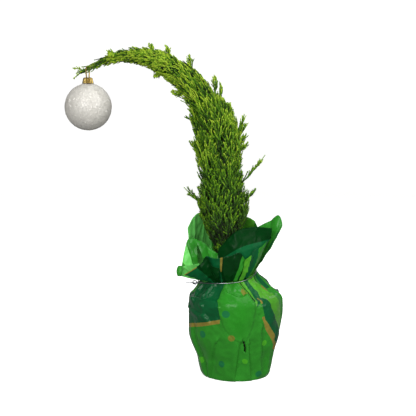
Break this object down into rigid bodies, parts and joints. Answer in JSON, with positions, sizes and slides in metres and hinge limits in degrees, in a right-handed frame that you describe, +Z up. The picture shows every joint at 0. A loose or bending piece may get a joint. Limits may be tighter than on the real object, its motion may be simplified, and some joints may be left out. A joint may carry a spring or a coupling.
{
  "type": "potted cypress",
  "caption": "Small columnar cypress in a nursery pot wrapped in tied printed film, its leading shoot bent over sideways and carrying a glitter bauble.",
  "frame": {"origin": "centre of the wrapped pot's flat underside, on the surface it stands on", "axes": "+Z up along the pot's axis, -X towards the side that the top bends over to, -Y towards the side that shows in the picture"},
  "size_m": [0.2787, 0.1204, 0.4247],
  "materials": {
    "pot": "satin",
    "compost": "matte",
    "film": "gloss",
    "film_dark": "gloss",
    "tie_wire": "satin",
    "bark": "matte",
    "foliage_low": "matte",
    "foliage_middle": "matte",
    "foliage_high": "matte",
    "foliage_tip": "matte",
    "bauble": "satin",
    "cap": "gloss"
  },
  "bodies": {
    "root": {"pot": "pot", "soil": "compost", "wrap_body": "film", "wrap_flap_left_tall": "film", "wrap_flap_left_fold": "film", "wrap_flap_left_low": "film", "wrap_flap_front": "film", "wrap_flap_front_right": "film", "wrap_flap_right_outer": "film", "wrap_flap_back_right": "film", "wrap_flap_back": "film", "wrap_flap_front_left": "film_dark", "wrap_flap_right_leaf": "film_dark", "wrap_curl": "film", "tie": "tie_wire", "trunk": "bark", "foliage_01_a": "foliage_low", "foliage_01_b": "foliage_low", "foliage_01_c": "foliage_low", "foliage_02_a": "foliage_low", "foliage_02_b": "foliage_low", "foliage_02_c": "foliage_low", "foliage_03_a": "foliage_low", "foliage_03_b": "foliage_low", "foliage_03_c": "foliage_low", "foliage_04_a": "foliage_middle", "foliage_04_b": "foliage_middle", "foliage_04_c": "foliage_middle", "foliage_05_a": "foliage_middle", "foliage_05_b": "foliage_middle", "foliage_06_a": "foliage_middle", "foliage_06_b": "foliage_middle", "foliage_07_a": "foliage_high", "foliage_07_b": "foliage_high", "foliage_08_a": "foliage_high", "foliage_08_b": "foliage_high", "foliage_09_a": "foliage_high", "foliage_09_b": "foliage_high", "foliage_tip": "foliage_tip", "bauble": "bauble", "bauble_cap": "cap"}
  },
  "joints": []
}
